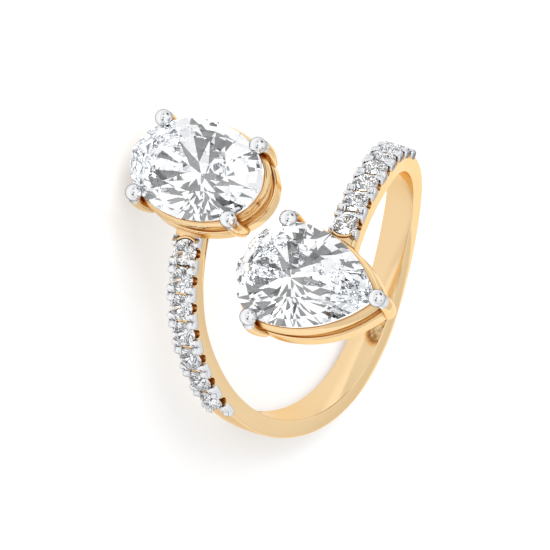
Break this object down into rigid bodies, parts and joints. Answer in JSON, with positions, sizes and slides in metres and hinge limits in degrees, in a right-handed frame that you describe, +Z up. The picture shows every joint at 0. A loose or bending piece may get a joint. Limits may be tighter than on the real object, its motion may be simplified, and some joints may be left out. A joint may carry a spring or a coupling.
{
  "type": "toi et moi ring",
  "caption": "Bypass ring in yellow gold: an open shank whose arms pass each other, ending in an oval and a pear-shaped claw-set stone, with a row of small round stones along each arm.",
  "frame": {"origin": "middle of the box round the ring, at the floor it lies on", "axes": "+Z up from the floor, -Y the side that the two heads face, the ring lying on the shank's edge and the oval head's lower rail; the finger hole's axis runs down and back"},
  "size_m": [0.0193, 0.0246, 0.0192],
  "materials": {
    "gold": "polished 14 carat yellow gold",
    "white_tips": "bright white plating on claw tips and pave posts, a surface finish of the gold",
    "stone": "brilliant cut, colourless and clear"
  },
  "bodies": {
    "root": {"mounting": "gold", "oval_stone": "stone", "pear_stone": "stone", "accent_oval_1": "stone", "accent_oval_2": "stone", "accent_oval_3": "stone", "accent_oval_4": "stone", "accent_oval_5": "stone", "accent_oval_6": "stone", "accent_oval_7": "stone", "accent_pear_1": "stone", "accent_pear_2": "stone", "accent_pear_3": "stone", "accent_pear_4": "stone", "accent_pear_5": "stone", "accent_pear_6": "stone", "accent_pear_7": "stone"}
  },
  "joints": []
}
